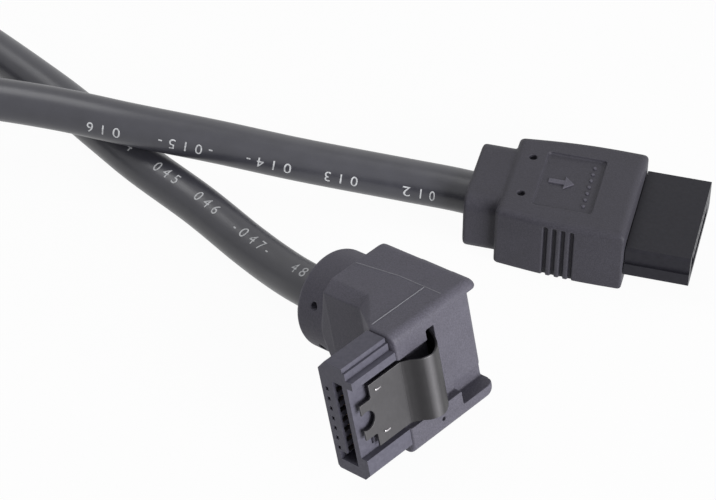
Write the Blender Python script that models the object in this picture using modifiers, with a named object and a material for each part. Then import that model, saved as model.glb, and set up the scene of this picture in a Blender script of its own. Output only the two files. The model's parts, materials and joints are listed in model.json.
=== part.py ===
"""A serial ATA data cable: a straight plug, a right-angle plug with a spring latch, and their cord.

Each plug is drawn in its own frame. X is the way it goes in, with the mouth at zero. Y runs along the
mouth, with the long leg of the L-slot at its positive end. Z is its thickness, with the contacts below.
"""

import math

import bmesh
import bpy
from mathutils import Matrix, Vector

# Nose, alike on both plugs
NOSE_WIDTH = 0.0141
CONTACT_SIDE = 0.00195  # from the middle plane to the face on the contacts' side
PLAIN_SIDE = 0.00205  # from the middle plane to the other face
NOSE_EDGE = 0.0003
TONGUE_LENGTH = 0.0022  # the tongue behind the nose sits in the boot
TONGUE_WIDTH = 0.0112
TONGUE_TOP = 0.001
TONGUE_BOTTOM = -0.00175
FIT = 0.0002  # clearance around a piece inside another
SEAM = 0.0001  # clearance where two outer faces meet

# L-shaped slot
SLOT_START = -0.00477
SLOT_END = 0.00566
SLOT_BOTTOM = -0.0001
SLOT_TOP = 0.0013
SLOT_DEPTH = 0.0058
LEG_WIDTH = 0.0011
LEG_BOTTOM = -0.0012

# Contacts
CONTACT_COUNT = 7
CONTACT_PITCH = 0.00127
FIRST_CONTACT = -0.00344
CONTACT_WIDTH = 0.00034
CONTACT_THICKNESS = 0.00018
CONTACT_LEVEL = -0.0012
CONTACT_RISE = 0.0014  # from the strip's level up to the top of its bump
CONTACT_SHOULDER = 0.85  # how much of that rise is reached beside the bump
CONTACT_BUMP = 0.0028  # from the mouth to the top of the bump
CONTACT_FOOT = 0.0048  # from the mouth to where the strip starts to rise
CONTACT_SETBACK = 0.0006  # from the mouth to the strip's tip
CONTACT_TAIL = 0.0015  # behind the tongue, inside the boot
CHANNEL_WIDTH = 0.0006
CHANNEL_HEIGHT = 0.0007
WINDOW = 0.00045  # of the small square hole in the mouth in front of each contact

# Cord
CORD_DIAMETER = 0.005
CORD_ENTRY = 0.0025  # how far the cord reaches into a boot
PAIR_DIAMETER = 0.0014
PAIR_SPACING = 0.0018  # between the two pairs where they leave the cord
PAIR_LEAD = 0.003  # the straight stretch of a pair before the cord
PAIR_BEND = [(-0.0131, -0.0002), (-0.0147, -0.0025)]  # in the right-angle plug: X, and Z from the contacts

# Straight plug
STRAIGHT_NOSE = 0.0073
STRAIGHT_CHAMFER = 0.0005  # of the nose's corners on the plain side
END_STEP = 0.0003  # the nose's contacts' half is this much shorter at the long-leg end
STRAIGHT_BODY = 0.0148
STRAIGHT_LIP = 0.00025  # how far the boot stands out beside the nose
STRAIGHT_FRONT = NOSE_WIDTH + 2 * STRAIGHT_LIP
STRAIGHT_REAR = 0.0131
STRAIGHT_BULGE = 0.00035
STRAIGHT_BOTTOM = -0.0042
STRAIGHT_TOP = 0.004
STRAIGHT_EDGE = 0.0007
STRAIGHT_WALL = 0.0016
COLLAR_LENGTH = 0.0039
COLLAR_WIDTH = 0.011
COLLAR_THICKNESS = 0.0078
COLLAR_CORNER = 0.0018
COLLAR_EDGE = 0.0004
PANEL_LENGTH = 0.0068
PANEL_WIDTH = 0.0092
PANEL_DEPTH = 0.0003
PANEL_FROM_FRONT = 0.0043
GRIP_COUNT = 4
GRIP_PITCH = 0.001
GRIP_WIDTH = 0.00045
GRIP_DEPTH = 0.0005
GRIP_FROM_FRONT = 0.0059
PIN_DIAMETER = 0.0009
PIN_DEPTH = 0.0007
PIN_SPACING = 0.0063
PIN_FROM_REAR = 0.0019

# Right-angle plug
ANGLE_NOSE = 0.0063
ANGLE_CHAMFER = 0.0012  # of the nose's corner on the contacts' side, away from the long leg
EAR_HEIGHT = 0.00085  # the rails beside the latch stand this far above the nose
EAR_START = -0.00495
STEP_WIDTH = 0.0005  # of each of the steps down from the rail at the other end
STEP_HEIGHT = 0.0003
BAY_START = -0.00405
BAY_END = 0.00425
HOOD_LENGTH = 0.0127
HOOD_LIP = 0.00028  # how far the hood stands out beside the nose
RAIL_LIP = 0.00085  # the same on the long leg's side, where it has a rail
HOOD_START = -NOSE_WIDTH / 2 - HOOD_LIP
HOOD_END = NOSE_WIDTH / 2 + RAIL_LIP
HOOD_TOP = 0.0028
HOOD_BOTTOM = -0.0006
HOOD_EDGE = 0.0006
WAIST_END = NOSE_WIDTH / 2 + HOOD_LIP
WAIST_BOTTOM = -0.0048
WAIST_FRONT = 0.0027  # how far the block steps back below the hood
WAIST_CHAMFER = 0.0015
WAIST_SHOULDER = 0.0009
BLOCK_BOTTOM = -0.0104
BLOCK_CORNER = 0.0012
WELL_START = -0.00425
WELL_END = 0.0045
WELL_FLOOR = 0.0019
PLATEAU = 0.0014
RIM_WIDTH = 0.0011  # of the wall beside the plateau, at the end away from the long leg
RECESS_WIDTH = 0.0016  # the hollow in the rail on the long leg's side
RECESS_LENGTH = 0.0038
RECESS_DEPTH = 0.0009
RECESS_FROM_REAR = 0.0007
RECESS_FROM_WELL = 0.0005
BARREL_DIAMETER = 0.0113
BARREL_AXIS = 0.015  # behind the mouth
BARREL_SHOULDER = 0.0018
BARREL_SIDES = 24
CORNER_APART = math.radians(1.5)  # between the corners of the block, seen from the barrel's axis
SIDE_APART = math.radians(4)  # between a corner and the nearest edge that only rounds the barrel
BARREL_END = -0.0164
BARREL_RIM = 0.0005
BARREL_PIN_LEVEL = -0.0137
BARREL_PIN_SPACING = 0.0053
ANGLE_WALL = 0.0018
CHAMBER_TOP = -0.0004
CHAMBER_FLOOR = -0.0028
CHAMBER_MARGIN = 0.0003  # beside the outermost contacts
CHAMBER_BOTTOM = -0.0085

# Latch
LATCH_THICKNESS = 0.00025
LATCH_WIDTH = 0.0077
LATCH_MIDDLE = 0.0001
LATCH_GAP = 0.0006  # under the pad
LATCH_FRONT = 0.0005
LATCH_SHOULDER = 0.0021
LATCH_TAB = 0.0044
LATCH_NOTCH = 0.0022
LATCH_NOTCH_BACK = 0.0022
LATCH_PAD_END = 0.0067
LATCH_HUMP = [(0, 0), (0.0008, 0.0006), (0.0016, 0.0015), (0.0026, 0.0019), (0.0034, 0.0018),
              (0.0044, 0.0011), (0.0053, -0.0002)]  # behind the pad's end, and above the pad
LATCH_DROP = [(0.0004, 0.0009), (0.0001, 0.00015)]  # before the root's edge, and above the tail
HUMP_STEP = 0.00045
LATCH_ROOT = 0.0129  # the edge of the plateau that the latch goes under
LATCH_LEVEL = 0.00055
LATCH_TAIL = 0.0011
TRENCH_LENGTH = 0.0014  # in front of the plateau, for the latch to go down in

# Where the right-angle plug and the cord lie, from the middle of the straight plug's mouth
ANGLE_MOUTH_X = -0.0299
ANGLE_MOUTH_Y = -0.0431
ANGLE_YAW = -119.3
ANGLE_TILT = 13.3
COIL_RADIUS = 0.027
COIL_CENTRE = (-0.1237, 0.0003)
COIL_LAYERS = 2
LAYER_GAP = 0.0003
FLOOR_GAP = 0.00005
COIL_ROUNDING = 0.6  # of the ring's corners, as a part of the cord's radius
STRAIGHT_RUN = [(-0.0290, 0.0001, 0.00405), (-0.0348, -0.0001, 0.0043), (-0.0462, -0.0010, 0.0053),
                (-0.0560, -0.0020, 0.0067), (-0.0660, -0.0030, 0.0079), (-0.0745, -0.0030, 0.0083),
                (-0.0830, -0.0031, 0.0082), (-0.0880, -0.0037, 0.0080), (-0.0928, -0.0057, 0.0079)]
ANGLE_RUN = [(-0.0400, -0.0203, 0.0049), (-0.0440, -0.0174, 0.0038), (-0.0490, -0.0137, 0.0030),
             (-0.0561, -0.0086, 0.0026), (-0.0648, -0.0034, 0.00255), (-0.0713, 0.0010, 0.00255),
             (-0.0778, 0.0054, 0.00255), (-0.0878, 0.0113, 0.00255), (-0.0955, 0.0155, 0.00255)]
RUN_STEP = 2.4  # radii of the cord between the points of a tube
SPLINE_PARTS = 20  # fine steps between two given points of a smooth path

MERGE = 0.000001
NEARLY = 0.000001


def clear_scene():
    for thing in list(bpy.data.objects):
        bpy.data.objects.remove(thing, do_unlink=True)


def new_collection(name):
    made = bpy.data.collections.new(name)
    bpy.context.scene.collection.children.link(made)
    return made


def make_material(name, colour, roughness, metallic=0.0):
    made = bpy.data.materials.new(name)
    made.use_nodes = True
    surface = made.node_tree.nodes["Principled BSDF"]
    surface.inputs["Base Color"].default_value = (*colour, 1.0)
    surface.inputs["Roughness"].default_value = roughness
    surface.inputs["Metallic"].default_value = metallic
    made.diffuse_color = (*colour, 1.0)
    return made


def add_object(name, mesh, surface, home):
    made = bpy.data.objects.new(name, mesh)
    if surface:
        made.data.materials.append(surface)
    home.objects.link(made)
    if home is cutters:
        made.hide_render = True
        made.display_type = "WIRE"
    return made


def welded(mesh):
    shape = bmesh.new()
    shape.from_mesh(mesh)
    bmesh.ops.remove_doubles(shape, verts=shape.verts, dist=MERGE)
    bmesh.ops.recalc_face_normals(shape, faces=shape.faces)
    shape.to_mesh(mesh)
    shape.free()
    return mesh


# Which way a flat outline faces: its own axes x, y and its thickness, as columns
FACING = {
    "X": Matrix(((0, 0, 1), (1, 0, 0), (0, 1, 0))),
    "Y": Matrix(((1, 0, 0), (0, 0, -1), (0, 1, 0))),
    "Z": Matrix.Identity(3),
}


def slab(outline, low, high, facing):
    """The mesh of a flat outline made thick from low to high along the axis it faces."""
    curve = bpy.data.curves.new("outline", "CURVE")
    curve.dimensions = "2D"
    curve.fill_mode = "BOTH"
    curve.extrude = (high - low) / 2
    line = curve.splines.new("POLY")
    line.points.add(len(outline) - 1)
    for point, (across, up) in zip(line.points, outline):
        point.co = (across, up, 0, 1)
    line.use_cyclic_u = True
    guide = bpy.data.objects.new("outline", curve)
    bpy.context.scene.collection.objects.link(guide)
    bpy.context.view_layer.update()
    seen = guide.evaluated_get(bpy.context.evaluated_depsgraph_get())
    mesh = bpy.data.meshes.new_from_object(seen)
    bpy.data.objects.remove(guide)
    bpy.data.curves.remove(curve)
    turn = FACING[facing].to_4x4()
    middle = (high + low) / 2 * (-1 if facing == "Y" else 1)
    mesh.transform(turn @ Matrix.Translation((0, 0, middle)))
    return welded(mesh)


def rectangle(left, right, bottom, top):
    return [(left, bottom), (right, bottom), (right, top), (left, top)]


def rounded(width, height, radius, steps=5):
    corners = [(1, -1, -90), (1, 1, 0), (-1, 1, 90), (-1, -1, 180)]
    points = []
    for across, up, start in corners:
        centre = Vector((across * (width / 2 - radius), up * (height / 2 - radius)))
        for step in range(steps + 1):
            angle = math.radians(start + 90 * step / steps)
            points.append((centre.x + radius * math.cos(angle), centre.y + radius * math.sin(angle)))
    return points


def box(left, right, near, far, bottom, top):
    return slab(rectangle(left, right, near, far), bottom, top, "Z")


def disc(centre, radius, bottom, top, sides=24):
    turn = [2 * math.pi * step / sides for step in range(sides)]
    outline = [(centre[0] + radius * math.cos(a), centre[1] + radius * math.sin(a)) for a in turn]
    return slab(outline, bottom, top, "Z")


def joined(meshes):
    """One mesh of several shapes that don't meet."""
    shape = bmesh.new()
    for mesh in meshes:
        shape.from_mesh(mesh)
    whole = bpy.data.meshes.new("joined")
    shape.to_mesh(whole)
    shape.free()
    return whole


def combine(target, name, mesh, operation):
    tool = add_object(name, mesh, None, cutters)
    step = target.modifiers.new(name, "BOOLEAN")
    step.operation = operation
    step.solver = "EXACT"
    step.object = tool
    return tool


def cut(target, name, mesh):
    return combine(target, name, mesh, "DIFFERENCE")


def add_to(target, name, mesh):
    return combine(target, name, mesh, "UNION")


def soften(target, width, segments=2, angle=40):
    step = target.modifiers.new("soften", "BEVEL")
    step.width = width
    step.segments = segments
    step.limit_method = "ANGLE"
    step.angle_limit = math.radians(angle)
    return step


def loft(rings):
    """The closed mesh through rings of points that all have the same count, with both ends capped."""
    shape = bmesh.new()
    rows = [[shape.verts.new(point) for point in ring] for ring in rings]
    count = len(rows[0])
    for lower, upper in zip(rows, rows[1:]):
        for i in range(count):
            j = (i + 1) % count
            shape.faces.new((lower[i], lower[j], upper[j], upper[i]))
    shape.faces.new(reversed(rows[0]))
    shape.faces.new(rows[-1])
    bmesh.ops.recalc_face_normals(shape, faces=shape.faces)
    mesh = bpy.data.meshes.new("loft")
    shape.to_mesh(mesh)
    shape.free()
    return mesh


def strip(path, middle, width, thickness, name, surface):
    """A flat metal strip bent along a path of X and Z, its width along Y."""
    shape = bmesh.new()
    sides = [[shape.verts.new((x, middle + edge * width / 2, z)) for x, z in path] for edge in (-1, 1)]
    for i in range(len(path) - 1):
        shape.faces.new((sides[0][i], sides[0][i + 1], sides[1][i + 1], sides[1][i]))
    mesh = bpy.data.meshes.new(name)
    shape.to_mesh(mesh)
    shape.free()
    made = add_object(name, mesh, surface, cable)
    step = made.modifiers.new("thickness", "SOLIDIFY")
    step.thickness = thickness
    step.offset = 0
    step.use_even_offset = True
    return made


def smooth_path(points, step):
    """Points a set distance apart along a smooth curve through the given points."""
    given = [Vector(p) for p in points]
    ends = [2 * given[0] - given[1], *given, 2 * given[-1] - given[-2]]
    fine = []
    for a, b, c, d in zip(ends, ends[1:], ends[2:], ends[3:]):
        for part in range(SPLINE_PARTS):
            t = part / SPLINE_PARTS
            fine.append(0.5 * (2 * b + (c - a) * t + (2 * a - 5 * b + 4 * c - d) * t**2
                               + (3 * b - a - 3 * c + d) * t**3))
    fine.append(given[-1])
    lengths = [0.0]
    for p, q in zip(fine, fine[1:]):
        lengths.append(lengths[-1] + (q - p).length)
    count = max(2, round(lengths[-1] / step) + 1)
    spaced = []
    at = 0
    for k in range(count):
        want = lengths[-1] * k / (count - 1)
        while at < len(fine) - 2 and lengths[at + 1] < want:
            at += 1
        span = lengths[at + 1] - lengths[at]
        spaced.append(fine[at].lerp(fine[at + 1], min(1.0, (want - lengths[at]) / span)))
    return spaced


def tube(name, points, diameter, surface, detail):
    curve = bpy.data.curves.new(name, "CURVE")
    curve.dimensions = "3D"
    curve.bevel_depth = diameter / 2
    curve.bevel_resolution = detail
    curve.use_fill_caps = True
    line = curve.splines.new("POLY")
    line.points.add(len(points) - 1)
    for point, place in zip(line.points, points):
        point.co = (*place, 1)
    curve.materials.append(surface)
    made = bpy.data.objects.new(name, curve)
    cable.objects.link(made)
    return made


def shade_round(thing):
    thing.data.shade_smooth()
    thing.data.set_sharp_from_angle(angle=math.radians(35))


def contact_places():
    return [FIRST_CONTACT + i * CONTACT_PITCH for i in range(CONTACT_COUNT)]


def nose_outline(latched):
    """The section of the nose, as Y and Z. A latched nose has rails for the latch above its plain side."""
    half = NOSE_WIDTH / 2
    if latched:
        top = PLAIN_SIDE + EAR_HEIGHT
        points = [(-half + ANGLE_CHAMFER, -CONTACT_SIDE), (half - NOSE_EDGE, -CONTACT_SIDE),
                  (half, -CONTACT_SIDE + NOSE_EDGE), (half, PLAIN_SIDE), (half - EAR_HEIGHT, top),
                  (EAR_START, top)]
        across, up = EAR_START, PLAIN_SIDE
        for drop in (STEP_HEIGHT, STEP_HEIGHT, -STEP_HEIGHT / 2):
            points += [(across, up), (across - STEP_WIDTH, up)]
            across, up = across - STEP_WIDTH, up - drop
        points += [(across, SLOT_TOP), (-half, SLOT_TOP), (-half, -CONTACT_SIDE + ANGLE_CHAMFER)]
        return points
    lower = half - END_STEP
    return [(-half + NOSE_EDGE, -CONTACT_SIDE), (lower - NOSE_EDGE, -CONTACT_SIDE),
            (lower, -CONTACT_SIDE + NOSE_EDGE), (lower, 0), (half, 0),
            (half, PLAIN_SIDE - STRAIGHT_CHAMFER), (half - STRAIGHT_CHAMFER, PLAIN_SIDE),
            (-half + STRAIGHT_CHAMFER, PLAIN_SIDE), (-half, PLAIN_SIDE - STRAIGHT_CHAMFER),
            (-half, -CONTACT_SIDE + NOSE_EDGE)]


def slot_outline():
    leg = SLOT_END - LEG_WIDTH
    return [(SLOT_START, SLOT_BOTTOM), (leg, SLOT_BOTTOM), (leg, LEG_BOTTOM), (SLOT_END, LEG_BOTTOM),
            (SLOT_END, SLOT_TOP), (SLOT_START, SLOT_TOP)]


def contact_path(nose):
    back = -nose - TONGUE_LENGTH - CONTACT_TAIL
    low = CONTACT_LEVEL
    shoulder = low + CONTACT_RISE * CONTACT_SHOULDER
    reach = CONTACT_THICKNESS * 2
    return [(back, low), (-CONTACT_FOOT, low), (-CONTACT_BUMP - reach, shoulder),
            (-CONTACT_BUMP, low + CONTACT_RISE), (-CONTACT_BUMP + reach, shoulder),
            (-CONTACT_SETBACK, low + CONTACT_THICKNESS)]


def channel(y, back):
    """What is cut away for one contact: a hole to the nose's back, open to the slot over its spring."""
    low, high = CONTACT_LEVEL - CHANNEL_HEIGHT / 2, CONTACT_LEVEL + CHANNEL_HEIGHT / 2
    front, rear = -CONTACT_SETBACK / 2, -SLOT_DEPTH + FIT
    over = SLOT_BOTTOM + FIT
    outline = [(back - FIT, low), (front, low), (front, over), (rear, over), (rear, high),
               (back - FIT, high)]
    return slab(outline, y - CHANNEL_WIDTH / 2, y + CHANNEL_WIDTH / 2, "Y")


def window(y):
    """The hole from the mouth into one contact's channel."""
    half = WINDOW / 2
    return box(-CONTACT_SETBACK, FIT, y - half, y + half, CONTACT_LEVEL - half, CONTACT_LEVEL + half)


def housing(plug, nose, latched):
    """The hard plastic body of a plug, with its L-slot and a channel for each contact."""
    back = -nose - TONGUE_LENGTH
    made = add_object(f"{plug}_housing", slab(nose_outline(latched), -nose, 0, "X"), plastic, cable)
    tongue = box(back, -nose + FIT, -TONGUE_WIDTH / 2, TONGUE_WIDTH / 2, TONGUE_BOTTOM, TONGUE_TOP)
    add_to(made, f"{plug}_tongue", tongue)
    cut(made, f"{plug}_slot", slab(slot_outline(), -SLOT_DEPTH, FIT, "X"))
    cut(made, f"{plug}_channels", joined([channel(y, back) for y in contact_places()]))
    cut(made, f"{plug}_windows", joined([window(y) for y in contact_places()]))
    if latched:
        bay = box(-nose - FIT, FIT, BAY_START, BAY_END, PLAIN_SIDE, PLAIN_SIDE + 2 * EAR_HEIGHT)
        cut(made, f"{plug}_bay", bay)
    return made


def contacts(plug, nose):
    for i, y in enumerate(contact_places()):
        name = f"{plug}_contact_{i + 1}"
        strip(contact_path(nose), y, CONTACT_WIDTH, CONTACT_THICKNESS, name, gold)


def pairs(plug, nose, bend, cord_end, direction):
    """The two shielded pairs that run from the contacts' tails to the end of the cord's jacket."""
    start = -nose - TONGUE_LENGTH - CONTACT_TAIL - FIT
    tails = contact_places()
    for number, (first, side) in enumerate(((1, -1), (4, 1)), 1):
        y = (tails[first] + tails[first + 1]) / 2
        end = Vector(cord_end) - Vector(direction) * FIT + Vector((0, side * PAIR_SPACING / 2, 0))
        lead = end - Vector(direction) * PAIR_LEAD
        route = [(start, y, CONTACT_LEVEL), *((x, y, z) for x, z in bend), lead, end]
        tube(f"{plug}_pair_{number}", smooth_path(route, PAIR_DIAMETER * 1.5), PAIR_DIAMETER, foil, 2)


def straight_side(part):
    """Half the straight boot's width, part of the way from its front to its rear."""
    plain = STRAIGHT_FRONT + (STRAIGHT_REAR - STRAIGHT_FRONT) * part
    return plain / 2 + STRAIGHT_BULGE * math.sin(math.pi * part)


def straight_outline():
    """The straight boot from above: bulging sides from the wide front to the narrow rear."""
    steps = 8
    near = [(-STRAIGHT_NOSE - SEAM - STRAIGHT_BODY * k / steps, straight_side(k / steps))
            for k in range(steps + 1)]
    return near + [(x, -half) for x, half in reversed(near)]


def grips():
    """The grooves on both sides that a finger holds by."""
    made = []
    for side in (-1, 1):
        for k in range(GRIP_COUNT):
            along = GRIP_FROM_FRONT + k * GRIP_PITCH
            x = -STRAIGHT_NOSE - SEAM - along
            floor = straight_side(along / STRAIGHT_BODY) - GRIP_DEPTH
            edges = sorted((side * floor, side * (floor + 4 * GRIP_DEPTH)))
            made.append(box(x - GRIP_WIDTH / 2, x + GRIP_WIDTH / 2, *edges, 2 * STRAIGHT_BOTTOM,
                            2 * STRAIGHT_TOP))
    return joined(made)


def straight_boot():
    front = -STRAIGHT_NOSE - SEAM
    rear = front - STRAIGHT_BODY
    end = rear - COLLAR_LENGTH
    body = slab(straight_outline(), STRAIGHT_BOTTOM, STRAIGHT_TOP, "Z")
    made = add_object("straight_boot", body, rubber, cable)
    soften(made, STRAIGHT_EDGE, 2, 50)
    collar = slab(rounded(COLLAR_WIDTH, COLLAR_THICKNESS, COLLAR_CORNER), end, rear + STRAIGHT_WALL, "X")
    soften(add_to(made, "straight_collar", collar), COLLAR_EDGE, 2, 50)
    seat = -STRAIGHT_NOSE - TONGUE_LENGTH - FIT
    cut(made, "straight_pocket", box(seat, 0, -TONGUE_WIDTH / 2 - FIT, TONGUE_WIDTH / 2 + FIT,
                                     TONGUE_BOTTOM - FIT, TONGUE_TOP + FIT))
    room = STRAIGHT_REAR / 2 - STRAIGHT_WALL
    cut(made, "straight_chamber", box(rear + STRAIGHT_WALL / 2, seat + FIT, -room, room,
                                      STRAIGHT_BOTTOM + STRAIGHT_WALL, STRAIGHT_TOP - STRAIGHT_WALL))
    bore = disc((0, 0), CORD_DIAMETER / 2 + FIT, end - FIT, rear + STRAIGHT_WALL)
    bore.transform(Matrix.Rotation(math.radians(90), 4, "Y"))
    cut(made, "straight_bore", bore)
    panel = front - PANEL_FROM_FRONT
    cut(made, "straight_panel", box(panel - PANEL_LENGTH, panel, -PANEL_WIDTH / 2, PANEL_WIDTH / 2,
                                    2 * STRAIGHT_BOTTOM, STRAIGHT_BOTTOM + PANEL_DEPTH))
    cut(made, "straight_grips", grips())
    pins = [disc((rear + PIN_FROM_REAR, side * PIN_SPACING / 2), PIN_DIAMETER / 2, 2 * STRAIGHT_BOTTOM,
                 STRAIGHT_BOTTOM + PIN_DEPTH, 12) for side in (-1, 1)]
    cut(made, "straight_pins", joined(pins))


def ring_at(outline, centre, angles, z):
    """Where rays from a centre at the given angles meet a convex outline, as points at height z."""
    found = []
    count = len(outline)
    for angle in angles:
        ray = Vector((math.cos(angle), math.sin(angle)))
        best = None
        for i in range(count):
            a = Vector(outline[i]) - Vector(centre)
            b = Vector(outline[(i + 1) % count]) - Vector(centre)
            side = b - a
            cross = ray.x * side.y - ray.y * side.x
            if abs(cross) < NEARLY * NEARLY:
                continue
            reach = (a.x * side.y - a.y * side.x) / cross
            along = (a.x * ray.y - a.y * ray.x) / cross
            if reach > 0 and -NEARLY <= along <= 1 + NEARLY:
                best = reach if best is None else min(best, reach)
        point = Vector(centre) + ray * best
        found.append((point.x, point.y, z))
    return found


def hood_outline(front, end, chamfer, shoulder):
    """The right-angle boot's block from above, its front corners cut off and its rear ones rounded."""
    rear = -ANGLE_NOSE - SEAM - HOOD_LENGTH
    points = [(front, HOOD_START + shoulder), (front, end - shoulder), (front - chamfer, end)]
    for start, middle in ((90, end - BLOCK_CORNER), (180, HOOD_START + BLOCK_CORNER)):
        for step in range(4):
            angle = math.radians(start + 90 * step / 3)
            points.append((rear + BLOCK_CORNER + BLOCK_CORNER * math.cos(angle),
                           middle + BLOCK_CORNER * math.sin(angle)))
    points.append((front - chamfer, HOOD_START))
    return points


def block_mesh():
    """The solid form of the right-angle boot: a hood, a narrower block and a barrel for the cord."""
    centre = (-BARREL_AXIS, 0)
    hood = hood_outline(-ANGLE_NOSE - SEAM, HOOD_END, BLOCK_CORNER / 8, BLOCK_CORNER / 8)
    waist = hood_outline(-ANGLE_NOSE - SEAM - WAIST_FRONT, WAIST_END, WAIST_CHAMFER, WAIST_SHOULDER)
    angles = []
    for x, y in hood + waist:
        corner = math.atan2(y, x + BARREL_AXIS) % (2 * math.pi)
        if all(abs(corner - angle) > CORNER_APART for angle in angles):
            angles.append(corner)
    corners = list(angles)
    for k in range(BARREL_SIDES):
        between = 2 * math.pi * k / BARREL_SIDES
        if all(abs(between - corner) > SIDE_APART for corner in corners):
            angles.append(between)
    angles.sort()
    radius = BARREL_DIAMETER / 2

    def barrel(inset, z):
        size = radius - inset
        return [(centre[0] + size * math.cos(a), size * math.sin(a), z) for a in angles]

    rings = [ring_at(hood, centre, angles, HOOD_TOP), ring_at(hood, centre, angles, HOOD_BOTTOM),
             ring_at(waist, centre, angles, WAIST_BOTTOM), ring_at(waist, centre, angles, BLOCK_BOTTOM),
             barrel(0, BLOCK_BOTTOM - BARREL_SHOULDER), barrel(0, BARREL_END + BARREL_RIM),
             barrel(BARREL_RIM / 3, BARREL_END + BARREL_RIM / 3), barrel(BARREL_RIM, BARREL_END)]
    return loft(rings)


def angle_boot():
    rear = -ANGLE_NOSE - SEAM - HOOD_LENGTH
    made = add_object("angle_boot", block_mesh(), rubber, cable)
    shade_round(made)
    soften(made, HOOD_EDGE, 2, 60)
    seat = -ANGLE_NOSE - TONGUE_LENGTH - FIT
    cut(made, "angle_pocket", box(seat, 0, -TONGUE_WIDTH / 2 - FIT, TONGUE_WIDTH / 2 + FIT,
                                  TONGUE_BOTTOM - FIT, TONGUE_TOP + FIT))
    room = max(abs(y) for y in contact_places()) + CONTACT_WIDTH / 2 + CHAMBER_MARGIN
    well = -BARREL_AXIS + CORD_DIAMETER / 2 + FIT
    cut(made, "angle_chamber", box(rear + ANGLE_WALL, seat + FIT, -room, room,
                                   CHAMBER_FLOOR, CHAMBER_TOP))
    cut(made, "angle_well", box(rear + ANGLE_WALL, well, -room, room, CHAMBER_BOTTOM, CHAMBER_TOP - FIT))
    bore = disc((-BARREL_AXIS, 0), CORD_DIAMETER / 2 + FIT, BARREL_END - FIT, CHAMBER_BOTTOM + FIT)
    cut(made, "angle_bore", bore)
    cut(made, "angle_channel", box(rear - FIT, -LATCH_ROOT + FIT, HOOD_START + RIM_WIDTH, WELL_END,
                                   PLATEAU, HOOD_TOP + FIT))
    cut(made, "angle_latch_bay", box(-LATCH_ROOT - FIT, 0, WELL_START, WELL_END,
                                     WELL_FLOOR, HOOD_TOP + FIT))
    behind, beside = rear + RECESS_FROM_REAR, WELL_END + RECESS_FROM_WELL
    cut(made, "angle_recess", box(behind, behind + RECESS_LENGTH, beside, beside + RECESS_WIDTH,
                                  HOOD_TOP - RECESS_DEPTH, HOOD_TOP + FIT))
    left, right = LATCH_MIDDLE - LATCH_WIDTH / 2 - FIT, LATCH_MIDDLE + LATCH_WIDTH / 2 + FIT
    low, high = LATCH_LEVEL - LATCH_THICKNESS / 2 - FIT, LATCH_LEVEL + LATCH_THICKNESS / 2 + FIT
    cut(made, "angle_trench", box(-LATCH_ROOT, -LATCH_ROOT + TRENCH_LENGTH, left, right,
                                  low, HOOD_TOP + FIT))
    cut(made, "angle_tail_slot", box(-LATCH_ROOT - LATCH_TAIL - FIT, -LATCH_ROOT + FIT,
                                     left, right, low, high))
    pins = []
    for side in (-1, 1):
        pin = disc((0, 0), PIN_DIAMETER / 2, 0, BARREL_DIAMETER / 2, 12)
        pin.transform(Matrix.Translation((-BARREL_AXIS + BARREL_DIAMETER / 2 - 2 * PIN_DEPTH,
                                          side * BARREL_PIN_SPACING / 2, BARREL_PIN_LEVEL))
                      @ Matrix.Rotation(math.radians(90), 4, "Y"))
        pins.append(pin)
    cut(made, "angle_pins", joined(pins))


def latch_path():
    """The latch from the tip of its pad, over its hump and down to its tail, as X and Z."""
    pad = PLAIN_SIDE + LATCH_GAP + LATCH_THICKNESS / 2
    hump = [(-LATCH_PAD_END - along, 0, pad + up) for along, up in LATCH_HUMP]
    hump += [(-LATCH_ROOT + along, 0, LATCH_LEVEL + up) for along, up in LATCH_DROP]
    bent = [(point.x, point.z) for point in smooth_path(hump, HUMP_STEP)]
    tail = [(-LATCH_ROOT - LATCH_TAIL / 3, LATCH_LEVEL), (-LATCH_ROOT - LATCH_TAIL, LATCH_LEVEL)]
    return [(-LATCH_FRONT, pad), *bent, *tail]


def latch_spring():
    """The leaf spring that holds the plug in, with its origin on the line that it bends about."""
    pad = PLAIN_SIDE + LATCH_GAP
    made = strip(latch_path(), LATCH_MIDDLE, LATCH_WIDTH, LATCH_THICKNESS, "latch_spring", steel)
    half, tab = LATCH_WIDTH / 2, LATCH_TAB / 2
    low, high = pad - LATCH_GAP / 2, pad + LATCH_GAP
    corners = [box(-LATCH_SHOULDER, 0, LATCH_MIDDLE - half - FIT, LATCH_MIDDLE - tab, low, high),
               box(-LATCH_SHOULDER, 0, LATCH_MIDDLE + tab, LATCH_MIDDLE + half + FIT, low, high)]
    cut(made, "latch_corners", joined(corners))
    notch = disc((-LATCH_NOTCH_BACK + LATCH_NOTCH / 2, LATCH_MIDDLE), LATCH_NOTCH / 2, low, high)
    cut(made, "latch_notch", notch)
    hinge = Vector((-LATCH_ROOT, LATCH_MIDDLE, LATCH_LEVEL))
    made.data.transform(Matrix.Translation(-hinge))
    made.location = hinge


def box_of(things):
    """The lowest and the highest corner of the box round some objects."""
    bpy.context.view_layer.update()
    view = bpy.context.evaluated_depsgraph_get()
    corners = []
    for thing in things:
        seen = thing.evaluated_get(view)
        corners += [seen.matrix_world @ vertex.co for vertex in seen.to_mesh().vertices]
        seen.to_mesh_clear()
    sides = [[corner[i] for corner in corners] for i in range(3)]
    return Vector([min(side) for side in sides]), Vector([max(side) for side in sides])


def place_plug(name, turn, build):
    """Build a plug's pieces and their cutters, and set it down on the floor, turned as it lies."""
    before = set(bpy.data.objects)
    build()
    pieces = set(bpy.data.objects) - before
    holder = bpy.data.objects.new(name, None)
    cable.objects.link(holder)
    for piece in pieces:
        piece.parent = holder
    holder.matrix_world = turn
    low, high = box_of([piece for piece in pieces if not piece.hide_render])
    holder.location.z -= low.z
    bpy.context.view_layer.update()
    return holder


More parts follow.
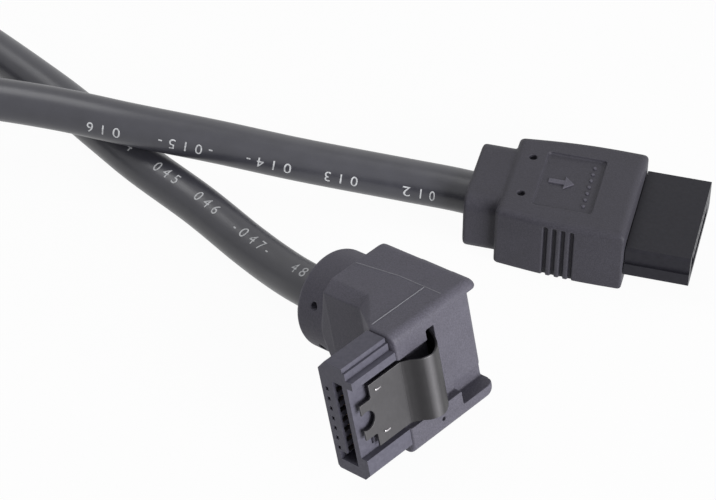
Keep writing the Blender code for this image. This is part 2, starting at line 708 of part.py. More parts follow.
def build_straight_plug():
    housing("straight", STRAIGHT_NOSE, False)
    contacts("straight", STRAIGHT_NOSE)
    pairs("straight", STRAIGHT_NOSE, [], (straight_end() + CORD_ENTRY, 0, 0), (-1, 0, 0))
    straight_boot()


def build_angle_plug():
    housing("angle", ANGLE_NOSE, True)
    contacts("angle", ANGLE_NOSE)
    bend = [(x, CONTACT_LEVEL + drop) for x, drop in PAIR_BEND]
    pairs("angle", ANGLE_NOSE, bend, (-BARREL_AXIS, 0, BARREL_END + CORD_ENTRY), (0, 0, -1))
    angle_boot()
    latch_spring()


def straight_end():
    return -STRAIGHT_NOSE - SEAM - STRAIGHT_BODY - COLLAR_LENGTH


def straight_turn():
    """The straight plug lies flat with its contacts' side up."""
    return Matrix.Rotation(math.pi, 4, "X")


def angle_turn():
    """The right-angle plug lies on its side, on the edge of its block, with its cord sloping down."""
    yaw, tilt = math.radians(ANGLE_YAW), math.radians(ANGLE_TILT)
    way_in = Vector((math.cos(yaw), math.sin(yaw), 0))
    flat = way_in.cross(Vector((0, 0, -1)))
    up = flat * math.cos(tilt) + Vector((0, 0, math.sin(tilt)))
    along = up.cross(way_in)
    turn = Matrix((way_in, along, up)).transposed().to_4x4()
    return Matrix.Translation((ANGLE_MOUTH_X, ANGLE_MOUTH_Y, 0)) @ turn


def cord_run(name, plug, inner, outer, points):
    """A stretch of cord from inside a plug, out of it and along the points chosen for it."""
    start = [plug.matrix_world @ Vector(inner), plug.matrix_world @ Vector(outer)]
    line = smooth_path([*start, *points], RUN_STEP * CORD_DIAMETER / 2)
    tube(name, line, CORD_DIAMETER, jacket, 2)


def cord_coil():
    """The outer shape of the coiled turns, as a turned ring."""
    half = CORD_DIAMETER / 2
    height = COIL_LAYERS * CORD_DIAMETER + (COIL_LAYERS - 1) * LAYER_GAP
    section = rounded(CORD_DIAMETER, height, half * COIL_ROUNDING, 3)
    section.reverse()
    shape = bmesh.new()
    ring = [shape.verts.new((COIL_RADIUS + x, 0, z)) for x, z in section]
    for a, b in zip(ring, ring[1:] + ring[:1]):
        shape.edges.new((a, b))
    mesh = bpy.data.meshes.new("cord_coil")
    shape.to_mesh(mesh)
    shape.free()
    made = add_object("cord_coil", mesh, jacket, cable)
    made.location = (*COIL_CENTRE, FLOOR_GAP + height / 2)
    turn = made.modifiers.new("turn", "SCREW")
    turn.steps = turn.render_steps = 48
    turn.use_merge_vertices = True
    turn.merge_threshold = MERGE
    turn.use_smooth_shade = True


def build_cord(straight_plug, angle_plug):
    end = straight_end()
    cord_run("cord_straight_run", straight_plug, (end + CORD_ENTRY, 0, 0), (end, 0, 0), STRAIGHT_RUN)
    cord_run("cord_angle_run", angle_plug, (-BARREL_AXIS, 0, BARREL_END + CORD_ENTRY),
             (-BARREL_AXIS, 0, BARREL_END), ANGLE_RUN)
    cord_coil()


def stand_on_origin():
    """Move everything so that the middle of the plugs' box is over the origin."""
    plugs = [thing for thing in cable.objects if thing.type == "MESH" and "cord" not in thing.name]
    low, high = box_of(plugs)
    shift = Matrix.Translation((-(low.x + high.x) / 2, -(low.y + high.y) / 2, 0))
    for thing in cable.objects:
        if thing.parent is None:
            thing.matrix_world = shift @ thing.matrix_world
    bpy.context.view_layer.update()


clear_scene()
cable = new_collection("sata_data_cable")
cutters = new_collection("cutters")
plastic = make_material("nose_plastic", (0.028, 0.027, 0.032), 0.35)
rubber = make_material("boot_rubber", (0.062, 0.064, 0.068), 0.65)
gold = make_material("contact_gold", (0.83, 0.6, 0.25), 0.3, 1.0)
foil = make_material("pair_foil", (0.75, 0.76, 0.78), 0.35, 1.0)
steel = make_material("latch_steel", (0.36, 0.355, 0.35), 0.35, 1.0)
jacket = make_material("cord_jacket", (0.035, 0.035, 0.038), 0.5)
straight = place_plug("straight_plug", straight_turn(), build_straight_plug)
angle = place_plug("angle_plug", angle_turn(), build_angle_plug)
build_cord(straight, angle)
stand_on_origin()
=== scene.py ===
import json
import math

import bmesh
import bpy
from mathutils import Matrix, Vector


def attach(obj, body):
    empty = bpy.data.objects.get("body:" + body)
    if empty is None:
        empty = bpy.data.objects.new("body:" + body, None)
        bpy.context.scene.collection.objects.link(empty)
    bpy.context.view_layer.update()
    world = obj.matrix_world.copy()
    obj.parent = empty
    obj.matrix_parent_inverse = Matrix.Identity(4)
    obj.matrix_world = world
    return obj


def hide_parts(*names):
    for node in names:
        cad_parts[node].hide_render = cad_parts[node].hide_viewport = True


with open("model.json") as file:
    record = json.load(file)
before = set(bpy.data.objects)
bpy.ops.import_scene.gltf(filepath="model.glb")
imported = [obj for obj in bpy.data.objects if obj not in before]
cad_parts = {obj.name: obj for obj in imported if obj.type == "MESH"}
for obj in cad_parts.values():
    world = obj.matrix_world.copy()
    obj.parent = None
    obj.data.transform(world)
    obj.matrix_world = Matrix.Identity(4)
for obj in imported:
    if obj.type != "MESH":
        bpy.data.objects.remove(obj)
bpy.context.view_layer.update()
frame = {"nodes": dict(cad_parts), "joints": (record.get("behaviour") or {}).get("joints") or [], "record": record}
print("frame loaded")

mm = 0.001
mounts = {mount["name"]: mount for mount in frame["record"]["mounts"]}
hinge = frame["joints"][0]
faceOffset = 1.65 * mm  # the mouths' points lie this far along a plug's own Z


# In a plug's own frame X is the way it goes in, with the mouth at zero,
# Y runs along the mouth and the contacts are on the side of negative Z.
def straightPlace():
    point = Vector(mounts["straight_mouth"]["pos_m"]) + Vector((0, 0, faceOffset))
    return Matrix.Translation(point) @ Matrix.Rotation(math.pi, 4, "X")


def anglePlace():
    wayIn = Vector(mounts["angle_mouth"]["axis"]).normalized()
    along = Vector(hinge["axis"]).normalized()
    out = wayIn.cross(along)
    turn = Matrix((wayIn, along, out)).transposed().to_4x4()
    return Matrix.Translation(Vector(mounts["angle_mouth"]["pos_m"]) - out * faceOffset) @ turn


straightFrame = straightPlace()
angleFrame = anglePlace()
origin = Vector((straightFrame.translation.x, straightFrame.translation.y, 0))


# A shader socket that can be used in sums.
class Wire:
    def __init__(self, finish, socket):
        self.finish = finish
        self.socket = socket

    def sum(self, operation, first, second):
        return self.finish.node("ShaderNodeMath", {"operation": operation}, {0: first, 1: second})

    def __add__(self, other):
        return self.sum("ADD", self, other)

    def __radd__(self, other):
        return self.sum("ADD", other, self)

    def __sub__(self, other):
        return self.sum("SUBTRACT", self, other)

    def __rsub__(self, other):
        return self.sum("SUBTRACT", other, self)

    def __mul__(self, other):
        return self.sum("MULTIPLY", self, other)

    def __rmul__(self, other):
        return self.sum("MULTIPLY", other, self)


class Finish:
    def __init__(self, name, colour, roughness, **fixed):
        self.material = bpy.data.materials.new(name)
        self.material.use_nodes = True
        self.tree = self.material.node_tree
        self.shader = self.tree.nodes["Principled BSDF"]
        self.feed(self.shader.inputs["Base Color"], colour)
        self.feed(self.shader.inputs["Roughness"], roughness)
        for socket, value in fixed.items():
            self.feed(self.shader.inputs[socket.replace("_", " ")], value)

    def feed(self, socket, value):
        if isinstance(value, Wire):
            self.tree.links.new(value.socket, socket)
        elif isinstance(value, tuple) and len(value) == 3 and socket.type == "RGBA":
            socket.default_value = (*value, 1)
        else:
            socket.default_value = value

    def node(self, kind, settings=None, inputs=None, output=0):
        made = self.tree.nodes.new(kind)
        for key, value in (settings or {}).items():
            if key == "stops":
                stops = made.color_ramp.elements
                while len(stops) < len(value):
                    stops.new(1)
                for k, (place, grey) in enumerate(value):
                    stops[k].position = place
                    stops[k].color = (grey, grey, grey, 1)
            else:
                setattr(made, key, value)
        for key, value in (inputs or {}).items():
            self.feed(made.inputs[key], value)
        return Wire(self, made.outputs[output])

    def place(self):
        return self.node("ShaderNodeTexCoord", output="Object")

    def noise(self, size, detail=2, roughness=0.5, where=None):
        inputs = {"Vector": where or self.place(), "Scale": 1 / size, "Detail": detail, "Roughness": roughness}
        return self.node("ShaderNodeTexNoise", None, inputs)

    def ramp(self, value, low, high):
        return self.node("ShaderNodeValToRGB", {"stops": [(low, 0), (high, 1)]}, {0: value})

    def mix(self, factor, first, second):
        return self.node("ShaderNodeMix", {"data_type": "RGBA"}, {0: factor, 6: first, 7: second}, output=2)

    def stretched(self, scale):
        return self.node("ShaderNodeVectorMath", {"operation": "MULTIPLY"}, {0: self.place(), 1: scale})

    def bump(self, height, distance):
        return self.node("ShaderNodeBump", None, {"Height": height, "Distance": distance, "Strength": 1.0})

    def set(self, **links):
        for socket, value in links.items():
            self.feed(self.shader.inputs[socket.replace("_", " ")], value)


# The shares "straight" and "angle" are painted light: the same rubber, made darker on the straight plug and much
# lighter on the right-angle plug, for how the light falls on each.
bootFinishValues = {"dark": (0.031, 0.0295, 0.038), "light": (0.06, 0.0575, 0.073), "grain": 0.16 * mm,
                    "blotch": 3.2 * mm, "roughness": 0.55, "gloss": 0.25, "depth": 0.022 * mm,
                    "straight": 0.85, "angle": 1.8}


# scales a colour by a plug's painted light share
def withPaintedLight(colour, share):
    return tuple(part * share for part in colour)


def makeBootFinish(plug):
    v = bootFinishValues
    # painted light: the rubber made darker for the straight plug and lighter for the right-angle plug
    dark, light = withPaintedLight(v["dark"], v[plug]), withPaintedLight(v["light"], v[plug])
    made = Finish(f"moulded {plug} boot", dark, v["roughness"], Specular_IOR_Level=v["gloss"])
    grain = made.noise(v["grain"], 2, 0.6)
    blotch = made.noise(v["blotch"], 3, 0.6)
    tone = made.ramp(grain, 0.38, 0.68) * 0.55 + blotch * 0.5
    made.set(Base_Color=made.mix(tone, dark, light),
             Roughness=v["roughness"] + (grain - 0.5) * 0.25 + (blotch - 0.5) * 0.1,
             Normal=made.bump(grain + made.noise(v["grain"] * 2.7, 1) * 0.7, v["depth"]))
    return made.material


# The shares "straight" and "angle" are painted light: the same plastic, made a little darker on the straight plug and
# several times lighter on the right-angle plug, for how the light falls on each.
noseFinishValues = {"dark": (0.015, 0.0146, 0.019), "light": (0.03, 0.0292, 0.0375), "scuff": 0.5 * mm,
                    "roughness": 0.4, "gloss": 0.13, "depth": 0.004 * mm, "straight": 0.75, "angle": 3.9}


def makeNoseFinish(plug):
    v = noseFinishValues
    # painted light: the plastic made darker for the straight plug and lighter for the right-angle plug
    dark, light = withPaintedLight(v["dark"], v[plug]), withPaintedLight(v["light"], v[plug])
    made = Finish(f"hard {plug} nose plastic", dark, v["roughness"], Specular_IOR_Level=v["gloss"])
    scuff = made.noise(v["scuff"], 4, 0.65)
    streak = made.noise(v["scuff"], 3, 0.6, made.stretched((0.25, 2.2, 1.4)))
    made.set(Base_Color=made.mix(scuff, dark, light),
             Roughness=v["roughness"] + (streak - 0.5) * 0.3,
             Normal=made.bump(scuff, v["depth"]))
    return made.material


jacketFinishValues = {"dark": (0.03, 0.03, 0.0375), "light": (0.05, 0.05, 0.0615), "cloud": 2.4 * mm,
                      "grain": 0.2 * mm, "roughness": 0.34, "gloss": 0.55, "depth": 0.006 * mm}


def makeJacketFinish():
    v = jacketFinishValues
    made = Finish("cord jacket", v["dark"], v["roughness"], Specular_IOR_Level=v["gloss"])
    cloud = made.noise(v["cloud"], 3, 0.55)
    grain = made.noise(v["grain"], 2)
    made.set(Base_Color=made.mix(cloud * 0.8 + grain * 0.2, v["dark"], v["light"]),
             Roughness=v["roughness"] + (grain - 0.5) * 0.12 + (cloud - 0.5) * 0.1,
             Normal=made.bump(grain * 0.5 + cloud, v["depth"]))
    return made.material


def makeMarkFinish():
    made = Finish("grey print", (0.5, 0.51, 0.53), 0.6)
    worn = made.ramp(made.noise(0.25 * mm, 3, 0.7), 0.3, 0.55)
    made.set(Base_Color=made.mix(worn, (0.28, 0.285, 0.3), (0.56, 0.57, 0.59)))
    return made.material


steelFinishValues = {"dark": (0.17, 0.166, 0.175), "light": (0.23, 0.224, 0.236), "brush": 0.12 * mm,
                     "patch": 2.2 * mm, "roughness": 0.5, "depth": 0.0006 * mm,
                     "span": (0.0, -14.0), "painted shade and highlight": [(0.0, 0.46), (0.46, 0.44), (0.5, 0.21), (0.6, 0.22), (0.65, 0.62),
                                                     (0.7, 0.38), (0.8, 0.22)]}


def makeSteelFinish():
    v = steelFinishValues
    made = Finish("brushed spring steel", v["dark"], v["roughness"], Metallic=1.0)
    brush = made.noise(v["brush"], 3, 0.6, made.stretched((1.0, 1.0, 0.06)))
    patch = made.noise(v["patch"], 3, 0.6)
    # painted shade and highlight along the latch, from the tip of the pad back over the hump: the steel is drawn
    # darker down the hump's slopes and lighter at its crest
    wayIn = angleFrame.col[0].xyz
    start, end = v["span"]
    along = made.node("ShaderNodeVectorMath", {"operation": "DOT_PRODUCT"}, {0: made.place(), 1: tuple(wayIn)}, 1)
    share = (along - (wayIn.dot(angleFrame.translation) + start * mm)) * (1 / ((end - start) * mm))
    # the ramp darkens the hump's slopes and lightens its crest: painted shade and highlight
    tone = made.node("ShaderNodeValToRGB", {"stops": v["painted shade and highlight"]}, {0: share})
    made.set(Base_Color=made.mix(tone, (0, 0, 0), made.mix(patch * 0.5 + brush * 0.5, v["dark"], v["light"])),
             Roughness=v["roughness"] + (brush - 0.5) * 0.25,
             Normal=made.bump(brush, v["depth"]))
    return made.material


def makeGoldFinish():
    made = Finish("plated contact", (0.83, 0.6, 0.25), 0.28, Metallic=1.0)
    wear = made.noise(0.3 * mm, 3)
    made.set(Base_Color=made.mix(wear, (0.72, 0.5, 0.2), (0.92, 0.72, 0.36)), Roughness=0.2 + wear * 0.2)
    return made.material


def makeFoilFinish():
    made = Finish("pair foil", (0.75, 0.76, 0.78), 0.35, Metallic=1.0)
    crease = made.noise(0.4 * mm, 4, 0.7)
    made.set(Base_Color=made.mix(crease, (0.6, 0.61, 0.63), (0.85, 0.86, 0.88)),
             Roughness=0.25 + crease * 0.25, Normal=made.bump(crease, 0.02 * mm))
    return made.material


def makeBarbFinish():
    # the barbs are the latch's own steel, drawn far lighter than it: a painted glint on them
    made = Finish("spring steel with painted glint", (0.62, 0.6, 0.62), 0.3, Metallic=1.0)
    made.set(Roughness=0.22 + made.noise(0.15 * mm, 3) * 0.2)
    return made.material


# the boot and nose materials each come in a darker copy for the straight plug and a lighter one for the right-angle
# plug: painted light
bootFinish = {plug: makeBootFinish(plug) for plug in ("straight", "angle")}
noseFinish = {plug: makeNoseFinish(plug) for plug in ("straight", "angle")}
barbGlintFinish = makeBarbFinish()
# the mould lines' grey is lighter than the boot's rubber: a painted highlight along the raised lines
mouldLineHighlightFinish = Finish("mould line", (0.2, 0.2, 0.225), 0.5, Specular_IOR_Level=0.3).material
jacketFinish = makeJacketFinish()
markFinish = makeMarkFinish()
steelFinish = makeSteelFinish()
goldFinish = makeGoldFinish()
foilFinish = makeFoilFinish()
for name, node in frame["nodes"].items():
    plug = "straight" if "straight" in name else "angle"
    for word, finish in (("contact", goldFinish), ("pair", foilFinish), ("housing", noseFinish[plug]),
                         ("boot", bootFinish[plug]), ("latch", steelFinish), ("cord", jacketFinish)):
        if word in name:
            node.data.materials.clear()
            node.data.materials.append(finish)
print("finishes made")


# Camera, floor and light.
cameraPlace = {"point": (22.97, -232.5, 216.79), "azimuth": 15.08, "elevation": 43.05, "lens": 140.78}


def makeCamera():
    data = bpy.data.cameras.new("camera")
    data.lens = cameraPlace["lens"]
    data.sensor_width = 36
    data.clip_start = 0.01
    made = bpy.data.objects.new("camera", data)
    bpy.context.scene.collection.objects.link(made)
    made.location = origin + Vector(cameraPlace["point"]) * mm
    azimuth, elevation = math.radians(cameraPlace["azimuth"]), math.radians(cameraPlace["elevation"])
    made.rotation_euler = (math.pi / 2 - elevation, 0, azimuth)
    bpy.context.scene.camera = made


lampValues = {
    "key": {"point": (0.53, -0.33, 0.2), "size": 0.4, "power": 7.0},
    "left": {"point": (-0.3, 0.1, 0.58), "size": 0.35, "power": 1.3},
    "rear": {"point": (0.1, 0.5, 0.3), "size": 0.4, "power": 0.3},
}


def makeLamps():
    for name, v in lampValues.items():
        data = bpy.data.lights.new(name, "AREA")
        data.size = v["size"]
        data.energy = v["power"]
        made = bpy.data.objects.new(name, data)
        bpy.context.scene.collection.objects.link(made)
        made.location = v["point"]
        made.rotation_euler = (-Vector(v["point"])).to_track_quat("-Z", "Y").to_euler()


def seenDirectly(tree):
    path = tree.nodes.new("ShaderNodeLightPath")
    first = tree.nodes.new("ShaderNodeMath")
    first.operation = "MAXIMUM"
    second = tree.nodes.new("ShaderNodeMath")
    second.operation = "MAXIMUM"
    tree.links.new(path.outputs["Is Camera Ray"], first.inputs[0])
    tree.links.new(path.outputs["Is Glossy Ray"], first.inputs[1])
    tree.links.new(first.outputs[0], second.inputs[0])
    tree.links.new(path.outputs["Is Transmission Ray"], second.inputs[1])
    return second.outputs[0]


worldValues = {"light": 0.24}


def makeWorld():
    world = bpy.data.worlds.new("studio")
    world.use_nodes = True
    bpy.context.scene.world = world
    tree = world.node_tree
    background = tree.nodes["Background"]
    white = tree.nodes.new("ShaderNodeBackground")
    white.inputs["Strength"].default_value = 1.0
    white.inputs["Color"].default_value = (1, 1, 1, 1)
    background.inputs["Color"].default_value = (1, 1, 1, 1)
    background.inputs["Strength"].default_value = worldValues["light"]
    mix = tree.nodes.new("ShaderNodeMixShader")
    tree.links.new(seenDirectly(tree), mix.inputs[0])
    tree.links.new(background.outputs[0], mix.inputs[1])
    tree.links.new(white.outputs[0], mix.inputs[2])
    tree.links.new(mix.outputs[0], tree.nodes["World Output"].inputs[0])


floorValues = {"size": 3.0, "colour": 0.6, "glow": 0.96}


def makeFloor():
    mesh = bpy.data.meshes.new("floor")
    half = floorValues["size"] / 2
    mesh.from_pydata([(-half, -half, 0), (half, -half, 0), (half, half, 0), (-half, half, 0)], [], [(0, 1, 2, 3)])
    floor = bpy.data.objects.new("floor", mesh)
    bpy.context.scene.collection.objects.link(floor)
    made = Finish("floor", (floorValues["colour"],) * 3, 1.0)
    made.set(Specular_IOR_Level=0.0)
    tree = made.tree
    glow = tree.nodes.new("ShaderNodeEmission")
    glow.inputs["Color"].default_value = (1, 1, 1, 1)
    factor = Wire(made, seenDirectly(tree)) * floorValues["glow"]
    mix = made.node("ShaderNodeMixShader", None, {0: factor})
    tree.links.new(made.shader.outputs[0], mix.socket.node.inputs[1])
    tree.links.new(glow.outputs[0], mix.socket.node.inputs[2])
    tree.links.new(mix.socket, tree.nodes["Material Output"].inputs[0])
    mesh.materials.append(made.material)


bpy.context.scene.view_settings.view_transform = "Standard"
makeCamera()
makeLamps()
makeWorld()
makeFloor()
print("camera, lamps and floor made")


# Meshes from outlines, in mm.
beyond = 9  # past every face of a plug, where a cut runs out
bite = 0.1  # how far a cut reaches into the one beside it


def meshFrom(build):
    shape = bmesh.new()
    build(shape)
    bmesh.ops.recalc_face_normals(shape, faces=shape.faces)
    mesh = bpy.data.meshes.new("shape")
    shape.to_mesh(mesh)
    shape.free()
    return mesh


def prism(outline, low, high, facing):
    # an outline in mm made thick along X, Y or Z
    def at(point, level):
        first, second = point
        return Vector({"X": (level, first, second), "Y": (first, level, second),
                       "Z": (first, second, level)}[facing]) * mm

    def build(shape):
        rows = [[shape.verts.new(at(point, level)) for point in outline] for level in (low, high)]
        count = len(outline)
        for i in range(count):
            j = (i + 1) % count
            shape.faces.new((rows[0][i], rows[0][j], rows[1][j], rows[1][i]))
        shape.faces.new(rows[0])
        shape.faces.new(rows[1])

    return meshFrom(build)


def block(left, right, near, far, bottom, top):
    return prism([(left, near), (right, near), (right, far), (left, far)], bottom, top, "Z")


def circle(centre, radius, sides=32):
    turn = [2 * math.pi * k / sides for k in range(sides)]
    return [(centre[0] + radius * math.cos(a), centre[1] + radius * math.sin(a)) for a in turn]


def filleted(points, radii, steps=5):
    # an outline with its corners rounded
    made = []
    count = len(points)
    for i, point in enumerate(points):
        here = Vector(point)
        radius = radii[i] if isinstance(radii, (list, tuple)) else radii
        before = (Vector(points[i - 1]) - here).normalized()
        after = (Vector(points[(i + 1) % count]) - here).normalized()
        turn = before.angle(after)
        if radius <= 0 or turn > math.pi - 0.01:
            made.append(tuple(here))
            continue
        reach = radius / math.tan(turn / 2)
        start, end = here + before * reach, here + after * reach
        centre = here + (before + after).normalized() * (radius / math.sin(turn / 2))
        first, last = start - centre, end - centre
        for k in range(steps + 1):
            arm = first.lerp(last, k / steps)
            made.append(tuple(centre + arm.normalized() * radius))
    return made


def loft(rings):
    def build(shape):
        rows = [[shape.verts.new(Vector(point) * mm) for point in ring] for ring in rings]
        count = len(rows[0])
        for lower, upper in zip(rows, rows[1:]):
            for i in range(count):
                j = (i + 1) % count
                shape.faces.new((lower[i], lower[j], upper[j], upper[i]))
        shape.faces.new(rows[0])
        shape.faces.new(rows[-1])

    return meshFrom(build)


def newObject(name, mesh):
    made = bpy.data.objects.new(name, mesh)
    bpy.context.scene.collection.objects.link(made)
    return made


def joined(name, meshes):
    # one object of several meshes
    shape = bmesh.new()
    for part in meshes:
        shape.from_mesh(part)
    mesh = bpy.data.meshes.new(name)
    shape.to_mesh(mesh)
    shape.free()
    return newObject(name, mesh)


def settle(piece):
    # the piece's modifiers become its mesh
    bpy.context.view_layer.update()
    seen = piece.evaluated_get(bpy.context.evaluated_depsgraph_get())
    mesh = bpy.data.meshes.new_from_object(seen)
    piece.modifiers.clear()
    old = piece.data
    piece.data = mesh
    bpy.data.meshes.remove(old)


def combine(piece, mesh, operation="DIFFERENCE"):
    tool = newObject("tool", mesh)
    step = piece.modifiers.new("combine", "BOOLEAN")
    step.operation = operation
    step.solver = "EXACT"
    step.object = tool
    settle(piece)
    bpy.data.objects.remove(tool)
    bpy.data.meshes.remove(mesh)


def moulded(piece, voxel, passes, keep):
    # melts a hard-edged shape into one with small rounded edges
    melt = piece.modifiers.new("melt", "REMESH")
    melt.mode = "VOXEL"
    melt.voxel_size = voxel * mm
    smooth = piece.modifiers.new("smooth", "SMOOTH")
    smooth.factor = 0.5
    smooth.iterations = passes
    thin = piece.modifiers.new("thin", "DECIMATE")
    thin.ratio = keep
    settle(piece)
    piece.data.shade_smooth()


def crisp(piece, width, segments=2, angle=30):
    edge = piece.modifiers.new("edge", "BEVEL")
    edge.width = width * mm
    edge.segments = segments
    edge.limit_method = "ANGLE"
    edge.angle_limit = math.radians(angle)
    edge.use_clamp_overlap = True
    settle(piece)
    piece.data.shade_smooth()
    piece.data.set_sharp_from_angle(angle=math.radians(32))
    # large flat faces lead the normals, so that they stay flat
    flat = piece.modifiers.new("flat", "WEIGHTED_NORMAL")
    flat.keep_sharp = True
    settle(piece)


def finishPiece(piece, finish, place, body, slot, *nodes):
    piece.data.materials.clear()
    piece.data.materials.append(finish)
    piece.data.transform(place)
    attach(piece, body)
    if nodes:
        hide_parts(*nodes)
    return piece


# The cord: one route from the straight plug, round the coil and to the right-angle plug.
cordValues = {
    "diameter": 5.0, "sides": 40, "line step": 0.8,
    "boot end": (-26.1, 0, 0), "entry": 2.5,
    "near": [(-29.0, 0.1, 4.05), (-34.8, -0.1, 4.3), (-46.2, -1.0, 5.3), (-56.0, -2.0, 6.7), (-66.0, -3.0, 7.9),
             (-74.5, -3.0, 8.3), (-83.0, -3.1, 8.2), (-88.0, -3.7, 8.0), (-92.8, -5.7, 7.9), (-97.0, -9.0, 7.85)],
    "coil centre": (-123.66, 0.22), "coil radius": 26.95, "coil start": 330, "coil end": 61.1,
    "turn step": 15, "descent": 90, "low": 2.55, "high": 7.85,
    "far": [(-102.0, 19.3, 2.55), (-95.5, 15.5, 2.55), (-87.8, 11.3, 2.55), (-77.8, 5.4, 2.55), (-71.3, 1.0, 2.55),
            (-64.8, -3.4, 2.55), (-56.1, -8.6, 2.6), (-49.0, -13.7, 3.0), (-44.0, -17.4, 3.8), (-40.0, -20.3, 4.9)],
    "barrel": (-15.0, 0, -16.4),
    "length": 0.462,
}


def smoothLine(points, step):
    ends = [2 * points[0] - points[1], *points, 2 * points[-1] - points[-2]]
    fine = []
    for a, b, c, d in zip(ends, ends[1:], ends[2:], ends[3:]):
        count = max(2, round((c - b).length / step))
        for k in range(count):
            t = k / count
            fine.append(0.5 * (2 * b + (c - a) * t + (2 * a - 5 * b + 4 * c - d) * t ** 2
                               + (3 * b - a - 3 * c + d) * t ** 3))
    fine.append(points[-1])
    return fine


def cordRoute():
    v = cordValues
    end = Vector(v["boot end"])
    route = [straightFrame @ ((end + Vector((v["entry"], 0, 0))) * mm), straightFrame @ (end * mm)]
    route += [origin + Vector(point) * mm for point in v["near"]]
    centre = Vector((*v["coil centre"], 0))
    turn = v["coil start"] + 360
    while turn > v["coil end"]:
        # down from the upper turn to the lower one on the side that the cord comes in by
        down = min(1, max(0, (360 + v["coil end"] - turn) / v["descent"]))
        height = v["high"] + (v["low"] - v["high"]) * (3 * down ** 2 - 2 * down ** 3)
        angle = math.radians(turn)
        arm = Vector((math.cos(angle), math.sin(angle), 0)) * v["coil radius"]
        route.append(origin + (centre + arm + Vector((0, 0, height))) * mm)
        turn -= v["turn step"]
    route += [origin + Vector(point) * mm for point in v["far"]]
    barrel = Vector(v["barrel"])
    route += [angleFrame @ (barrel * mm), angleFrame @ ((barrel + Vector((0, 0, v["entry"]))) * mm)]
    return smoothLine(route, v["line step"] * mm)


def sweep(name, line, radius, sides):
    shape = bmesh.new()
    across = Vector((0, 0, 1))
    rows = []
    for i, point in enumerate(line):
        ahead = (line[min(i + 1, len(line) - 1)] - line[max(i - 1, 0)]).normalized()
        across = (across - ahead * across.dot(ahead)).normalized()
        other = ahead.cross(across)
        turn = [2 * math.pi * k / sides for k in range(sides)]
        rows.append([shape.verts.new(point + (across * math.cos(a) + other * math.sin(a)) * radius) for a in turn])
    for lower, upper in zip(rows, rows[1:]):
        for k in range(sides):
            shape.faces.new((lower[k], lower[(k + 1) % sides], upper[(k + 1) % sides], upper[k]))
    shape.faces.new(rows[0])
    shape.faces.new(rows[-1])
    bmesh.ops.recalc_face_normals(shape, faces=shape.faces)
    mesh = bpy.data.meshes.new(name)
    shape.to_mesh(mesh)
    shape.free()
    mesh.shade_smooth()
    return mesh


cordLine = cordRoute()
cord = newObject("cord", sweep("cord", cordLine, cordValues["diameter"] / 2 * mm, cordValues["sides"]))
finishPiece(cord, jacketFinish, Matrix.Identity(4), "cable", "cord_jacket",
            "cord_straight_run", "cord_coil", "cord_angle_run")
print("cord made,", round(sum((q - p).length for p, q in zip(cordLine, cordLine[1:])), 4), "m")


# The marks printed on the cord: plain length numerals and dashes.
markValues = {
    "height": 1.3, "em": 1.4, "lift": 0.012, "spacing": 1.08, "strips": 5,
    "near the straight plug": {"lean": 13, "places": [
        (-32.1, "0 1 2"), (-41.0, "0 1 3"), (-49.7, "0 1 4 -"), (-59.2, "- 0 1 5 -"), (-68.2, "0 1 6")]},
    "near the right-angle plug": {"lean": 73, "places": [
        (-40.2, "4 8"), (-47.2, "- 0 4 7 -"), (-54.1, "0 4 6"), (-60.4, "0 4 5"), (-66.9, "0 4 4")]},
}


def lineFrame(index, lean):
    # the point, the way along, and the way out of the cord at a lean above level on the near side
    ahead = (cordLine[index + 1] - cordLine[index - 1]).normalized()
    side = Vector((ahead.y, -ahead.x, 0)).normalized()
    if side.y > 0:
        side = -side
    up = ahead.cross(side)
    if up.z < 0:
        up = -up
    angle = math.radians(lean)
    return cordLine[index], ahead, side * math.cos(angle) + up * math.sin(angle)


def markMesh(text, index, lean):
    data = bpy.data.curves.new("mark", "FONT")
    data.body = text
    data.align_x = "CENTER"
    data.align_y = "CENTER"
    data.size = markValues["height"] * markValues["em"] * mm
    data.space_character = markValues["spacing"]
    flat = newObject("mark", data)
    bpy.context.view_layer.update()
    mesh = bpy.data.meshes.new_from_object(flat.evaluated_get(bpy.context.evaluated_depsgraph_get()))
    bpy.data.objects.remove(flat)
    shape = bmesh.new()
    shape.from_mesh(mesh)
    # cut into strips, so that the mark bends round the cord
    for k in range(-markValues["strips"], markValues["strips"] + 1):
        level = k * markValues["height"] * mm / 8
        everything = shape.verts[:] + shape.edges[:] + shape.faces[:]
        bmesh.ops.bisect_plane(shape, geom=everything, plane_co=(0, level, 0), plane_no=(0, 1, 0))
    point, ahead, out = lineFrame(index, lean)
    radius = cordValues["diameter"] / 2 * mm
    upward = out.cross(ahead)
    pace = (cordLine[index + 1] - cordLine[index]).length
    for vertex in shape.verts:
        angle = vertex.co.y / radius
        steps = vertex.co.x / pace
        near = index + math.floor(steps)
        middle = cordLine[near].lerp(cordLine[near + 1], steps - math.floor(steps))
        around = out * math.cos(angle) + upward * math.sin(angle)
        vertex.co = middle + around * (radius + markValues["lift"] * mm)
    bmesh.ops.recalc_face_normals(shape, faces=shape.faces)
    shape.to_mesh(mesh)
    shape.free()
    return mesh


def makeMarks():
    meshes = []
    half = len(cordLine) // 2
    for group, indices in (("near the straight plug", range(5, half)),
                           ("near the right-angle plug", range(half, len(cordLine) - 5))):
        v = markValues[group]
        for x, text in v["places"]:
            index = min(indices, key=lambda i: abs(cordLine[i].x - origin.x - x * mm) + abs(cordLine[i].z) * 0.01
                        + (1 if cordLine[i].x - origin.x < -0.09 else 0))
            meshes.append(markMesh(text, index, v["lean"]))
    return joined("cordMarks", meshes)


marks = finishPiece(makeMarks(), markFinish, Matrix.Identity(4), "cable", "cord_jacket")
print("marks printed")


